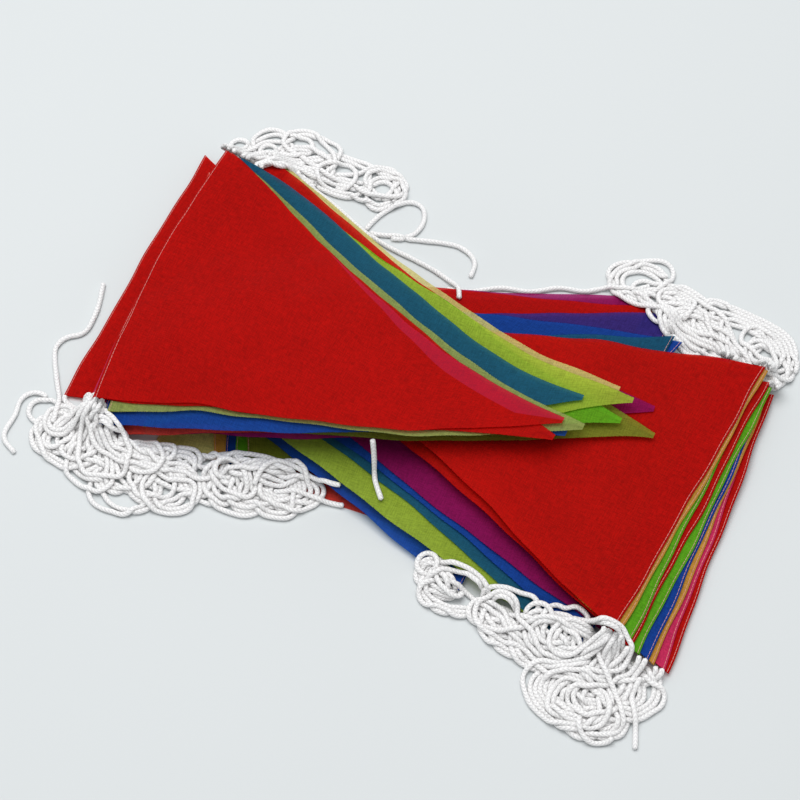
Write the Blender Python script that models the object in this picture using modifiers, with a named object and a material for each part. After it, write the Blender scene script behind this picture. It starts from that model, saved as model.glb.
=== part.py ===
"""Flag bunting, put down as two fanned stacks of pennants that lie point over point, with its cord.

Each pennant is one thin sheet, and a stack holds them heading on heading. A few pennants that slid
out lie at the bottom, the right stack lies on them, and the points of the left stack climb over it.
All sheets share one square lattice: a sheet's height at a lattice point counts the sheets that
reach it from below, and the sheet is flat between lattice points, so that no two sheets can meet.
The cord hangs out between the headings in tangles of wound loops, each tangle one solid, with the
single loops and loose ends as tubes.

Lengths are in metres, and in millimetres in the tables. +Z is up, the sheets at the bottom lie on
Z = 0, and X = Y = 0 is the middle of the pennants' box.
"""

import math
from collections import namedtuple

import bmesh
import bpy
import numpy as np
from mathutils import Vector

MM = 0.001

# The pennant's cut, and the sheet that stands for the cloth
PENNANT_WIDTH = 0.205
PENNANT_LENGTH = 0.277
POINT_WIDTH = 0.004
SIDE_CURVE = 1.05  # over 1, the sides are a little hollow
SIDE_STEPS = 7
HEADING_STEPS = 6
SHEET = 0.001
GAP = 0.0003
PITCH = SHEET + GAP

# The lattice that the sheets bend on
CELL = 0.030
LATTICE_HALF = 14  # cells from the middle to the lattice's edge
FALL = 0.065  # a sheet comes down beside another one over this distance
FLAT_ANGLE = math.radians(0.2)
ON_LINE = 1e-6

# The braided cord, and the strands that a tangle is drawn with
CORD_DIAMETER = 0.0032
CORD_STEP = 0.008
CORD_CLEAR = 0.0005  # under a cord that lies on sheets
STRAND_DIAMETER = 0.008
COIL_TURNS = 2
COIL_POINTS = 16  # in one turn
COIL_INNER = 0.45  # size of the inner end of a coil, as a share of the outer end
TANGLE_VOXEL = 0.0031
TANGLE_KEPT = 0.10  # share of the faces left in a tangle
CUTTER_HEIGHT = 0.10

# The middle of the pennants' box, in the millimetres of the tables
MIDDLE_X = -0.03
MIDDLE_Y = -1.78

# Where each stack's top heading has its middle, and where its points are. The headings reach
# further out up the pile: reach is that of the top one at its corners, and belly is how far its
# middle bulges beyond them.
Stack = namedtuple("Stack", "x y axis reach belly")
STACKS = {
    "under": Stack(-107.7, 49.1, -15.0, 0.0, 0.0),
    "right": Stack(158.6, -85.1, 153.0, 4.0, 0.5),
    "left": Stack(-158.5, 81.2, -26.5, 4.0, 6.0),
}

# One row for each pennant, from the bottom up. along and across move the heading from its stack's
# place, turn swings the point round the heading's middle, lean slants the heading, bow bends the
# pennant sideways, and sway bends it into an S.
Pennant = namedtuple("Pennant", "colour along across turn lean bow sway", defaults=[0.0])
PENNANTS = {
    "under": [
        Pennant("coral", 276.5, -31.3, 194.4, 0.0, 0.0),
        Pennant("cream", -22.0, -1.0, 0.0, -5.0, -15.0),
        Pennant("amber", -22.0, -1.0, 0.0, 17.0, -15.0),
        Pennant("blue", -13.5, 1.5, 0.0, 17.0, -15.0),
        Pennant("green", -7.0, 1.2, 0.0, 17.0, -15.0),
        Pennant("olive", 0.0, 0.0, 0.0, 17.0, -15.0),
    ],
    "right": [
        Pennant("magenta", 79.0, -35.2, 7.1, -7.1, 0.0),
        Pennant("red", 74.0, -26.8, 1.4, -1.7, 0.0),
        Pennant("blue", 96.0, 5.8, 7.7, -7.6, 0.0),
        Pennant("purple", 62.0, -26.3, 10.6, -12.6, 0.0),
        Pennant("blue", 66.0, -9.0, 0.2, -9.9, 0.0),
        Pennant("teal", 54.0, -6.9, 10.1, -10.7, 0.0),
        Pennant("lime", 40.0, 6.5, 8.8, -7.4, 6.6),
        Pennant("teal", 18.0, 13.0, 7.6, -11.3, -9.3),
        Pennant("blue", 14.0, 4.0, 8.0, -9.2, -4.4),
        Pennant("magenta", 14.0, -7.3, 6.4, -4.7, 8.3),
        Pennant("red", -25.5, 0.0, 3.0, 1.6, -3.0),
        Pennant("pink", -21.5, 0.0, 3.0, 2.0, -3.0),
        Pennant("amber", -19.0, 0.0, 3.0, 0.0, -3.0),
        Pennant("blue", -16.5, 0.0, 3.0, -1.0, -3.0),
        Pennant("green", -13.8, 0.0, 3.0, -3.0, -3.0),
        Pennant("red", -9.2, -0.8, 3.7, -4.7, -2.3),
        Pennant("green", -5.0, -5.5, 6.9, -6.4, -14.2, 4.3),
        Pennant("amber", -2.6, -5.6, 6.9, -9.4, -14.2, 4.3),
        Pennant("red", 0.0, -5.6, 7.0, -9.7, -14.2, 4.3),
    ],
    "left": [
        Pennant("red", -25.0, 1.0, -0.5, 4.1, -9.0),
        Pennant("magenta", 45.0, -1.0, 8.0, -4.4, -22.0),
        Pennant("coral", 5.0, -11.4, 1.5, 12.3, -10.0),
        Pennant("olive", 50.0, 6.0, 2.9, 2.7, -18.0),
        Pennant("cream", 20.0, 14.4, 4.5, -1.0, -14.1, 6.8),
        Pennant("pink", -8.0, 0.0, 0.0, 5.6, -9.0),
        Pennant("red", 22.0, 10.7, 0.5, 4.7, -8.3, 6.2),
        Pennant("green", 30.0, -4.8, 4.1, 4.6, -4.2, 5.4),
        Pennant("lime", 32.0, -1.2, 6.7, 3.3, -15.7, 6.4),
        Pennant("blue", 4.0, -11.8, 0.4, 7.4, -14.5),
        Pennant("teal", 4.0, -0.3, 3.2, -0.3, -7.3, 9.8),
        Pennant("pale", 12.0, -4.0, 0.3, 4.7, -17.2, 5.1),
        Pennant("red", 0.0, 0.0, -3.7, 7.8, -12.0, 1.4),
        Pennant("red", 0.0, 0.2, -1.3, 7.0, -20.1, 4.8),
    ],
}

# One row for each coil of strands in a tangle
Coil = namedtuple("Coil", "x y long short turn")
TANGLES = {
    "tangle_left_front": [
        Coil(-241, -8, 20, 12, 80),
        Coil(-228, -36, 24, 16, -60),
        Coil(-207, -52, 26, 17, -35),
        Coil(-182, -56, 24, 19, 10),
        Coil(-158, -66, 26, 17, -20),
        Coil(-132, -70, 26, 18, -15),
        Coil(-106, -78, 24, 15, 15),
        Coil(-86, -76, 17, 10, 0),
    ],
    "tangle_left_back": [
        Coil(-112, 192, 20, 12, 10),
        Coil(-88, 186, 22, 15, -35),
        Coil(-62, 178, 20, 14, -20),
        Coil(-43, 161, 20, 15, -60),
    ],
    "tangle_right_back": [
        Coil(128, 88, 20, 10, 5),
        Coil(150, 84, 20, 12, -15),
        Coil(172, 68, 24, 14, -40),
        Coil(198, 52, 26, 15, -35),
        Coil(218, 30, 22, 14, -70),
    ],
    "tangle_right_front": [
        Coil(-14, -116, 16, 9, -60),
        Coil(-4, -134, 18, 11, -40),
        Coil(20, -146, 22, 13, -35),
        Coil(44, -166, 24, 16, -30),
        Coil(68, -186, 24, 17, -50),
        Coil(90, -206, 26, 17, -30),
        Coil(111, -202, 22, 15, 30),
        Coil(104, -222, 18, 11, -70),
    ],
}

# Routes of the single cords, from the tangle outwards. on names the pennant that a cord lies on, and
# is empty where it lies beside the pennants.
Cord = namedtuple("Cord", "name on route")
CORDS = [
    Cord("cord_left_loop", "", [(-232, -2), (-243, 12), (-250, 8), (-249, -12), (-256, -30), (-248, -42)]),
    Cord("cord_left_wisp", "", [(-226, -22), (-223, -6), (-226, 10), (-229, 34), (-222, 48), (-214, 40), (-205, 62), (-202, 84)]),
    Cord("cord_back_loop", "", [(-30, 157), (-12, 152), (4, 146), (9, 134), (-1, 126), (-13, 130)]),
    Cord("cord_back_end", "", [(-42, 150), (-29, 134), (-14, 119), (4, 114), (22, 110), (36, 98), (27, 89)]),
    Cord("cord_right_edge", "", [(120, 88), (98, 84), (76, 86), (54, 84), (38, 88)]),
    Cord("cord_front_end", "", [(128, -196), (122, -208), (124, -222), (123, -238)]),
    Cord("cord_front_loop", "", [(110, -232), (98, -242), (88, -236), (92, -220)]),
    Cord("cord_over_upper", "under_06_olive", [(-99, -67), (-94, -58), (-84, -55), (-74, -59)]),
    Cord("cord_over_lower", "under_06_olive", [(-88, -69), (-76, -69), (-66, -72)]),
    Cord("cord_hanging", "right_10_magenta", [(-28, -53), (-24, -65), (-22, -81)]),
]

COLOURS = {
    "red": (0.55, 0.010, 0.007),
    "coral": (0.68, 0.068, 0.046),
    "pink": (0.66, 0.042, 0.110),
    "magenta": (0.32, 0.010, 0.090),
    "purple": (0.054, 0.036, 0.235),
    "blue": (0.015, 0.055, 0.330),
    "teal": (0.014, 0.105, 0.220),
    "green": (0.160, 0.420, 0.040),
    "lime": (0.380, 0.530, 0.050),
    "olive": (0.230, 0.290, 0.035),
    "pale": (0.420, 0.520, 0.180),
    "cream": (0.720, 0.640, 0.250),
    "amber": (0.640, 0.420, 0.090),
}
CLOTH_ROUGHNESS = 0.75
CORD_COLOUR = (0.90, 0.89, 0.89)
CORD_ROUGHNESS = 0.85


def clear_scene():
    for obj in list(bpy.data.objects):
        bpy.data.objects.remove(obj, do_unlink=True)


def new_collection(name):
    collection = bpy.data.collections.new(name)
    bpy.context.scene.collection.children.link(collection)
    return collection


def new_material(name, colour, roughness):
    material = bpy.data.materials.new(name)
    material.use_nodes = True
    shader = material.node_tree.nodes["Principled BSDF"]
    shader.inputs["Base Color"].default_value = (*colour, 1.0)
    shader.inputs["Roughness"].default_value = roughness
    return material


def new_object(name, mesh, collection, material=None):
    obj = bpy.data.objects.new(name, mesh)
    collection.objects.link(obj)
    if material:
        mesh.materials.append(material)
    return obj


def hide_cutter(obj):
    obj.hide_render = True
    obj.display_type = "WIRE"


def on_plan(x, y):
    """A place in the tables, in metres from the middle of the pennants' box."""
    return (x - MIDDLE_X) * MM, (y - MIDDLE_Y) * MM


def turned(x, y, angle):
    return x * math.cos(angle) - y * math.sin(angle), x * math.sin(angle) + y * math.cos(angle)


def bulge(stack, number, across):
    """How far the heading reaches out; across runs from -1 to 1 along it."""
    up_pile = number / len(PENNANTS[stack])
    return up_pile * (STACKS[stack].reach + STACKS[stack].belly * (1 - across**2)) * MM


def heading_point(stack, number, pennant, across):
    """A place on the heading in the pennant's own axes."""
    slant = -across * PENNANT_WIDTH / 2 * math.tan(math.radians(pennant.lean))
    return slant - bulge(stack, number, across), across * PENNANT_WIDTH / 2


def side_points(pennant, side):
    """One long side in the pennant's own axes, from the heading to the point; side is 1 or -1."""
    points = []
    for step in range(SIDE_STEPS + 1):
        t = step / SIDE_STEPS
        half = PENNANT_WIDTH / 2 * (1 - t) ** SIDE_CURVE + POINT_WIDTH / 2 * t
        bend = pennant.bow * math.sin(math.pi * t) + pennant.sway * math.sin(2 * math.pi * t)
        slant = -side * half * math.tan(math.radians(pennant.lean)) * (1 - t)
        points.append((t * PENNANT_LENGTH + slant, bend * MM + side * half))
    return points


def outline(stack, number, pennant):
    """The pennant's outline on the plan, anticlockwise."""
    place = STACKS[stack]
    axis = math.radians(place.axis)
    move_x, move_y = turned(pennant.along * MM, pennant.across * MM, axis)
    head_x, head_y = on_plan(place.x, place.y)
    head_x, head_y = head_x + move_x, head_y + move_y
    heading = axis + math.radians(pennant.turn)
    points = side_points(pennant, -1)[1:] + side_points(pennant, 1)[:0:-1]
    for step in range(HEADING_STEPS + 1):
        across = 1 - 2 * step / HEADING_STEPS
        points.append(heading_point(stack, number, pennant, across))
    placed = []
    for x, y in points:
        turned_x, turned_y = turned(x, y, heading)
        placed.append((head_x + turned_x, head_y + turned_y))
    return placed


def flat_face(points):
    bm = bmesh.new()
    bm.faces.new([bm.verts.new((x, y, 0)) for x, y in points])
    return bm


def cut_on_lattice(bm, points):
    """Cuts a flat face along the lattice's lines and the diagonals of its cells."""
    for normal in ((1, 0, 0), (0, 1, 0), (1, -1, 0)):
        places = [x * normal[0] + y * normal[1] for x, y in points]
        for line in range(math.floor(min(places) / CELL), math.ceil(max(places) / CELL) + 1):
            through = (line * CELL, 0, 0) if normal[0] else (0, line * CELL, 0)
            everything = bm.verts[:] + bm.edges[:] + bm.faces[:]
            bmesh.ops.bisect_plane(
                bm, geom=everything, dist=ON_LINE, plane_co=through, plane_no=normal
            )


def lattice_corners(x, y):
    """The three lattice points round a place, each with its share of the height there."""
    column, row = math.floor(x / CELL), math.floor(y / CELL)
    right, up = x / CELL - column, y / CELL - row
    near = (column + LATTICE_HALF, row + LATTICE_HALF)
    far = (near[0] + 1, near[1] + 1)
    if right >= up:
        return [(near, 1 - right), ((near[0] + 1, near[1]), right - up), (far, up)]
    return [(near, 1 - up), ((near[0], near[1] + 1), up - right), (far, right)]


def height_at(x, y, heights):
    return sum(share * heights[point] for point, share in lattice_corners(x, y))


def reached_points(bm):
    """The lattice points of every lattice triangle that the cut face touches."""
    found = set()
    for face in bm.faces:
        centre = face.calc_center_median()
        found.update(point for point, _ in lattice_corners(centre.x, centre.y))
    return np.array(sorted(found))


def raise_lattice(heights, reached):
    """Adds one sheet to the heights: in full where it reaches, and falling away beside it."""
    points = np.argwhere(np.ones_like(heights, bool))
    apart = np.linalg.norm(points[:, None, :] - reached[None, :, :], axis=2).min(axis=1) * CELL
    share = np.clip(1 - apart / FALL, 0, 1)
    heights += PITCH * (share * share * (3 - 2 * share)).reshape(heights.shape)


def thicken(bm):
    """Makes the face a sheet of even height, and joins the pieces of it that are in one plane."""
    made = bmesh.ops.extrude_face_region(bm, geom=bm.faces[:])["geom"]
    top = [item for item in made if isinstance(item, bmesh.types.BMVert)]
    bmesh.ops.translate(bm, verts=top, vec=(0, 0, SHEET))
    bmesh.ops.recalc_face_normals(bm, faces=bm.faces[:])
    bmesh.ops.dissolve_limit(bm, angle_limit=FLAT_ANGLE, verts=bm.verts[:], edges=bm.edges[:])


def make_pennant(name, points, heights, collection, material):
    """One sheet over everything under it, and its share added to the heights."""
    bm = flat_face(points)
    cut_on_lattice(bm, points)
    for vertex in bm.verts:
        vertex.co.z = height_at(vertex.co.x, vertex.co.y, heights)
    reached = reached_points(bm)
    thicken(bm)
    mesh = bpy.data.meshes.new(name)
    bm.to_mesh(mesh)
    bm.free()
    raise_lattice(heights, reached)
    return new_object(name, mesh, collection, material)


def make_pennants(collection, cutters):
    """All the sheets, from the bottom up, and the heights over each one."""
    heights = np.zeros((2 * LATTICE_HALF + 2, 2 * LATTICE_HALF + 2))
    over = {"": heights.copy()}
    materials = {
        colour: new_material("cloth_" + colour, value, CLOTH_ROUGHNESS)
        for colour, value in COLOURS.items()
    }
    for place, rows in PENNANTS.items():
        for number, pennant in enumerate(rows, 1):
            name = f"{place}_{number:02d}_{pennant.colour}"
            points = outline(place, number, pennant)
            make_pennant(name, points, heights, collection, materials[pennant.colour])
            make_pennant_cutter("cutter_" + name, points, cutters)
            over[name] = heights.copy()
    return over


def make_pennant_cutter(name, points, collection):
    """A column over the pennant, wider than it by the gap, that keeps a tangle off its edge."""
    points = [Vector((x, y, 0)) for x, y in points]
    grown = []
    for before, here, after in zip(points[-1:] + points[:-1], points, points[1:] + points[:1]):
        along = ((here - before).normalized() + (after - here).normalized()).normalized()
        grown.append(here + 1.5 * GAP * Vector((along.y, -along.x, 0)))
    bm = flat_face([(point.x, point.y) for point in grown])
    top = bmesh.ops.extrude_face_region(bm, geom=bm.faces[:])["geom"]
    top = [item for item in top if isinstance(item, bmesh.types.BMVert)]
    bmesh.ops.translate(bm, verts=bm.verts[:], vec=(0, 0, -CUTTER_HEIGHT / 2))
    bmesh.ops.translate(bm, verts=top, vec=(0, 0, CUTTER_HEIGHT))
    bmesh.ops.recalc_face_normals(bm, faces=bm.faces[:])
    mesh = bpy.data.meshes.new(name)
    bm.to_mesh(mesh)
    bm.free()
    hide_cutter(new_object(name, mesh, collection))


def new_tube(name, points, diameter, collection):
    """A round tube along the points."""
    curve = bpy.data.curves.new(name, "CURVE")
    curve.dimensions = "3D"
    spline = curve.splines.new("POLY")
    spline.points.add(len(points) - 1)
    for place, point in zip(spline.points, points):
        place.co = (*point, 1)
    curve.bevel_depth = diameter / 2
    curve.bevel_resolution = 2
    curve.use_fill_caps = True
    obj = bpy.data.objects.new(name, curve)
    collection.objects.link(obj)
    return obj


def as_mesh(tube):
    """The tube's mesh with its caps welded on, in place of the curve."""
    graph = bpy.context.evaluated_depsgraph_get()
    mesh = bpy.data.meshes.new_from_object(tube.evaluated_get(graph))
    bm = bmesh.new()
    bm.from_mesh(mesh)
    bmesh.ops.remove_doubles(bm, verts=bm.verts[:], dist=1e-6)
    bmesh.ops.recalc_face_normals(bm, faces=bm.faces[:])
    bm.to_mesh(mesh)
    bm.free()
    bpy.data.objects.remove(tube, do_unlink=True)
    return mesh


def smooth_route(points, step):
    """Points a step apart on a smooth curve through the route's own points."""
    ends = [2 * points[0] - points[1]] + points + [2 * points[-1] - points[-2]]
    curve = []
    for a, b, c, d in zip(ends, ends[1:], ends[2:], ends[3:]):
        for part in range(12):
            t = part / 12
            curve.append(
                0.5 * (2 * b + t * (c - a) + t * t * (2 * a - 5 * b + 4 * c - d)
                       + t ** 3 * (3 * b - a - 3 * c + d))
            )
    curve.append(points[-1])
    spaced, walked = [curve[0]], 0.0
    for before, here in zip(curve, curve[1:]):
        walked += (here - before).length
        if walked >= step:
            spaced.append(here)
            walked = 0.0
    if walked < step / 2:
        spaced.pop()
    return spaced + [curve[-1]]


def cord_route(cord, heights):
    """The cord's middle line, as it lies on the surface or on its pennant."""
    route = smooth_route([Vector((*on_plan(x, y), 0)) for x, y in cord.route], CORD_STEP)
    clear = CORD_CLEAR if cord.on else GAP
    for point in route:
        point.z = height_at(point.x, point.y, heights) + CORD_DIAMETER / 2 + clear
    return route


def make_cord(cord, heights, collection, cutters, material):
    """A single cord, and the wider tube that keeps the tangles off it."""
    route = cord_route(cord, heights)
    tube = new_tube(cord.name, route, CORD_DIAMETER, collection)
    tube.data.materials.append(material)
    name = "cutter_" + cord.name
    wider = new_tube(name, route, CORD_DIAMETER + 2.5 * GAP, cutters)
    hide_cutter(new_object(name, as_mesh(wider), cutters))


def coil_points(coil):
    """A strand wound inwards on the surface, uneven, with a slow rise and fall."""
    points = []
    steps = COIL_TURNS * COIL_POINTS
    for step in range(steps + 1):
        angle = 2 * math.pi * step / COIL_POINTS
        size = 1 + (COIL_INNER - 1) * step / steps
        size *= 1 + 0.13 * math.sin(3 * angle + coil.x)
        x, y = turned(
            coil.long * size * math.cos(angle), coil.short * size * math.sin(angle), math.radians(coil.turn)
        )
        lift = STRAND_DIAMETER * (0.60 + 0.30 * math.sin(2 * angle + coil.x))
        points.append((*on_plan(coil.x + x, coil.y + y), lift))
    return points


def near(mesh, other):
    """Whether the two meshes' boxes meet."""
    boxes = []
    for each in (mesh, other):
        places = np.array([vertex.co for vertex in each.vertices])
        boxes.append((places.min(axis=0), places.max(axis=0)))
    (low, high), (other_low, other_high) = boxes
    return bool((low < other_high).all() and (other_low < high).all())


def make_tangle(name, coils, collection, cutters, material):
    """The coils melted into one solid with a flat underside, cut clear of cloth and single cords."""
    bm = bmesh.new()
    for coil in coils:
        tube = new_tube(name + "_coil", coil_points(coil), STRAND_DIAMETER, collection)
        mesh = as_mesh(tube)
        bm.from_mesh(mesh)
        bpy.data.meshes.remove(mesh)
    mesh = bpy.data.meshes.new(name)
    bm.to_mesh(mesh)
    bm.free()
    obj = new_object(name, mesh, collection, material)
    melt = obj.modifiers.new("melt", "REMESH")
    melt.mode = "VOXEL"
    melt.voxel_size = TANGLE_VOXEL
    thin = obj.modifiers.new("thin", "DECIMATE")
    thin.ratio = TANGLE_KEPT
    graph = bpy.context.evaluated_depsgraph_get()
    melted = bpy.data.meshes.new_from_object(obj.evaluated_get(graph))
    for vertex in melted.vertices:
        vertex.co.z = max(vertex.co.z, 0.0)
    obj.modifiers.clear()
    obj.data = melted
    bpy.data.meshes.remove(mesh)
    melted.name = name
    for cutter in cutters.objects:
        if near(melted, cutter.data):
            clear = obj.modifiers.new("clear of " + cutter.name, "BOOLEAN")
            clear.operation = "DIFFERENCE"
            clear.object = cutter


def main():
    clear_scene()
    parts = new_collection("flag_bunting")
    cutters = new_collection("cutters")
    cord_material = new_material("cord_white", CORD_COLOUR, CORD_ROUGHNESS)
    over = make_pennants(parts, cutters)
    for cord in CORDS:
        make_cord(cord, over[cord.on], parts, cutters, cord_material)
    for name, coils in TANGLES.items():
        make_tangle(name, coils, parts, cutters, cord_material)


if __name__ == "__main__":
    main()
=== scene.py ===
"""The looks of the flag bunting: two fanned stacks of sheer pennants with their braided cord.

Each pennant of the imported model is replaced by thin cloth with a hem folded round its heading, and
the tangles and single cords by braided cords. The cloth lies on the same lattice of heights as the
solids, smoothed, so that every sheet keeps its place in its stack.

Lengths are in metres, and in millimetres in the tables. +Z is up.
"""

import math
from collections import namedtuple

import bmesh
import bpy
import numpy as np
from bpy.props import FloatProperty, FloatVectorProperty, IntProperty, PointerProperty
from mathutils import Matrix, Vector


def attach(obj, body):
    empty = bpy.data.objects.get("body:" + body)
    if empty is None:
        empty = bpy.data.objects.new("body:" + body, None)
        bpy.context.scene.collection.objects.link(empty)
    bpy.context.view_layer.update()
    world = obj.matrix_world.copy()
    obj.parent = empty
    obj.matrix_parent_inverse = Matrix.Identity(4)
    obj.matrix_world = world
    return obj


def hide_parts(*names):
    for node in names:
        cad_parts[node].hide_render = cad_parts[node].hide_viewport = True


bl_info = {
    "name": "Flag bunting",
    "version": (1, 0, 0),
    "blender": (4, 5, 0),
    "location": "View3D > Sidebar > Bunting",
    "description": "Sheer pennants on braided cord, put down as two fanned stacks",
    "category": "Add Mesh",
}

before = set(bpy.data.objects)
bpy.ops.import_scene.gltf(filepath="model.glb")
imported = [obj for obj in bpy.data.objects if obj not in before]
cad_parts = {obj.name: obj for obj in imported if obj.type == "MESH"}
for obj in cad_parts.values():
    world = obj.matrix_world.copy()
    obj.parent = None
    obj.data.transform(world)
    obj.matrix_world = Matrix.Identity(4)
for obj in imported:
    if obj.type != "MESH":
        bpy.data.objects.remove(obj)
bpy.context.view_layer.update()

MM = 0.001

# The pennant's cut
SIDE_CURVE = 1.05  # over 1, the sides are a little hollow

# The lattice of heights that the solids bend on
PITCH = 0.0013
CELL = 0.030
LATTICE_HALF = 14
FALL = 0.065

# The middle of the pennants' box, in the millimetres of the tables
MIDDLE_X = -0.03
MIDDLE_Y = -1.78

# Where each stack's top heading has its middle, and where its points are. Its headings reach
# further out up the pile: reach is that of the top one at its corners, and belly what its middle
# bulges beyond them.
Stack = namedtuple("Stack", "x y axis reach belly")
STACKS = {
    "under": Stack(-107.7, 49.1, -15.0, 0.0, 0.0),
    "right": Stack(158.6, -85.1, 153.0, 4.0, 0.5),
    "left": Stack(-158.5, 81.2, -26.5, 4.0, 6.0),
}
HEADING_REACH = 1 / 7  # share of the pennant's length that the bulge draws along

# One row for each pennant, from the bottom up, as in the part
Pennant = namedtuple("Pennant", "colour along across turn lean bow sway", defaults=[0.0])
PENNANTS = {
    "under": [
        Pennant("coral", 276.5, -31.3, 194.4, 0.0, 0.0),
        Pennant("cream", -22.0, -1.0, 0.0, -5.0, -15.0),
        Pennant("amber", -22.0, -1.0, 0.0, 17.0, -15.0),
        Pennant("blue", -13.5, 1.5, 0.0, 17.0, -15.0),
        Pennant("green", -7.0, 1.2, 0.0, 17.0, -15.0),
        Pennant("olive", 0.0, 0.0, 0.0, 17.0, -15.0),
    ],
    "right": [
        Pennant("magenta", 79.0, -35.2, 7.1, -7.1, 0.0),
        Pennant("red", 74.0, -26.8, 1.4, -1.7, 0.0),
        Pennant("blue", 96.0, 5.8, 7.7, -7.6, 0.0),
        Pennant("purple", 62.0, -26.3, 10.6, -12.6, 0.0),
        Pennant("blue", 66.0, -9.0, 0.2, -9.9, 0.0),
        Pennant("teal", 54.0, -6.9, 10.1, -10.7, 0.0),
        Pennant("lime", 40.0, 6.5, 8.8, -7.4, 6.6),
        Pennant("teal", 18.0, 13.0, 7.6, -11.3, -9.3),
        Pennant("blue", 14.0, 4.0, 8.0, -9.2, -4.4),
        Pennant("magenta", 14.0, -7.3, 6.4, -4.7, 8.3),
        Pennant("red", -25.5, 0.0, 3.0, 1.6, -3.0),
        Pennant("pink", -21.5, 0.0, 3.0, 2.0, -3.0),
        Pennant("amber", -19.0, 0.0, 3.0, 0.0, -3.0),
        Pennant("blue", -16.5, 0.0, 3.0, -1.0, -3.0),
        Pennant("green", -13.8, 0.0, 3.0, -3.0, -3.0),
        Pennant("red", -9.2, -0.8, 3.7, -4.7, -2.3),
        Pennant("green", -5.0, -5.5, 6.9, -6.4, -14.2, 4.3),
        Pennant("amber", -2.6, -5.6, 6.9, -9.4, -14.2, 4.3),
        Pennant("red", 0.0, -5.6, 7.0, -9.7, -14.2, 4.3),
    ],
    "left": [
        Pennant("red", -25.0, 1.0, -0.5, 4.1, -9.0),
        Pennant("magenta", 45.0, -1.0, 8.0, -4.4, -22.0),
        Pennant("coral", 5.0, -11.4, 1.5, 12.3, -10.0),
        Pennant("olive", 50.0, 6.0, 2.9, 2.7, -18.0),
        Pennant("cream", 20.0, 14.4, 4.5, -1.0, -14.1, 6.8),
        Pennant("pink", -8.0, 0.0, 0.0, 5.6, -9.0),
        Pennant("red", 22.0, 10.7, 0.5, 4.7, -8.3, 6.2),
        Pennant("green", 30.0, -4.8, 4.1, 4.6, -4.2, 5.4),
        Pennant("lime", 32.0, -1.2, 6.7, 3.3, -15.7, 6.4),
        Pennant("blue", 4.0, -11.8, 0.4, 7.4, -14.5),
        Pennant("teal", 4.0, -0.3, 3.2, -0.3, -7.3, 9.8),
        Pennant("pale", 12.0, -4.0, 0.3, 4.7, -17.2, 5.1),
        Pennant("red", 0.0, 0.0, -3.7, 7.8, -12.0, 1.4),
        Pennant("red", 0.0, 0.2, -1.3, 7.0, -20.1, 4.8),
    ],
}

SINGLE = "left_14_red"  # the pennant that lies over other colours along one side

# The hem in section, from the cut edge underneath, round the fold and over it to the seam: how far
# each place is from the fold, and how high it lies over the sheet below, in millimetres
Section = namedtuple("Section", "back lift")
HEM = [
    Section(17.0, 0.12),
    Section(12.0, 0.11),
    Section(7.0, 0.10),
    Section(3.0, 0.08),
    Section(1.2, 0.06),
    Section(0.35, 0.10),
    Section(0.02, 0.28),
    Section(-0.05, 0.48),
    Section(0.10, 0.72),
    Section(0.50, 0.88),
    Section(1.2, 0.90),
    Section(2.6, 0.84),
    Section(5.0, 0.68),
    Section(9.0, 0.58),
    Section(12.5, 0.52),
    Section(14.4, 0.40),
    Section(15.2, 0.30),
    Section(16.0, 0.38),
    Section(18.5, 0.30),
    Section(22.0, 0.18),
]
SEAM_BACK = 0.0152
ROW_STEP = 0.0036  # between rows of the grid past the hem
COLUMNS = 45

# One row for each patch of a tangle where its cords make their loops. mess is how much the loops
# differ from the patch in size, place and lie: 0 for parallel strands, 1 for a muddle.
Coil = namedtuple("Coil", "x y long short turn mess")
COILS = {
    "left_front": [
        Coil(-229, -25, 24, 16, 60, 1.0),
        Coil(-208, -39, 28, 18, -40, 1.0),
        Coil(-188, -51, 28, 18, -30, 1.0),
        Coil(-166, -56, 30, 17, -10, 1.0),
        Coil(-146, -59, 30, 18, -10, 1.0),
        Coil(-124, -58, 32, 18, -8, 1.0),
        Coil(-103, -65, 32, 16, -5, 1.0),
        Coil(-84, -62, 28, 15, 10, 1.0),
        Coil(-142, -42, 28, 11, -5, 0.6),
        Coil(-203, -10, 16, 12, 60, 1.0),
    ],
    "left_back": [
        Coil(-100, 197, 20, 12, -5, 0.9),
        Coil(-71, 187, 24, 15, -30, 0.9),
        Coil(-43, 171, 24, 15, -35, 0.9),
        Coil(-24, 154, 18, 13, -60, 0.9),
    ],
    "right_back": [
        Coil(140, 87, 26, 11, -8, 0.6),
        Coil(161, 71, 26, 12, -30, 0.5),
        Coil(175, 48, 34, 14, -44, 0.3),
        Coil(206, 42, 36, 15, -40, 0.2),
        Coil(224, 24, 22, 14, -62, 0.4),
    ],
    "right_front": [
        Coil(5, -114, 20, 11, -65, 0.5),
        Coil(16, -130, 24, 14, -42, 0.8),
        Coil(34, -142, 26, 15, -38, 0.8),
        Coil(53, -154, 26, 16, -38, 0.9),
        Coil(72, -167, 28, 18, -38, 0.9),
        Coil(91, -178, 28, 18, -35, 0.9),
        Coil(110, -190, 28, 18, -10, 0.7),
        Coil(112, -205, 34, 14, 25, 0.4),
        Coil(92, -207, 30, 14, -40, 0.4),
    ],
}

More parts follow.
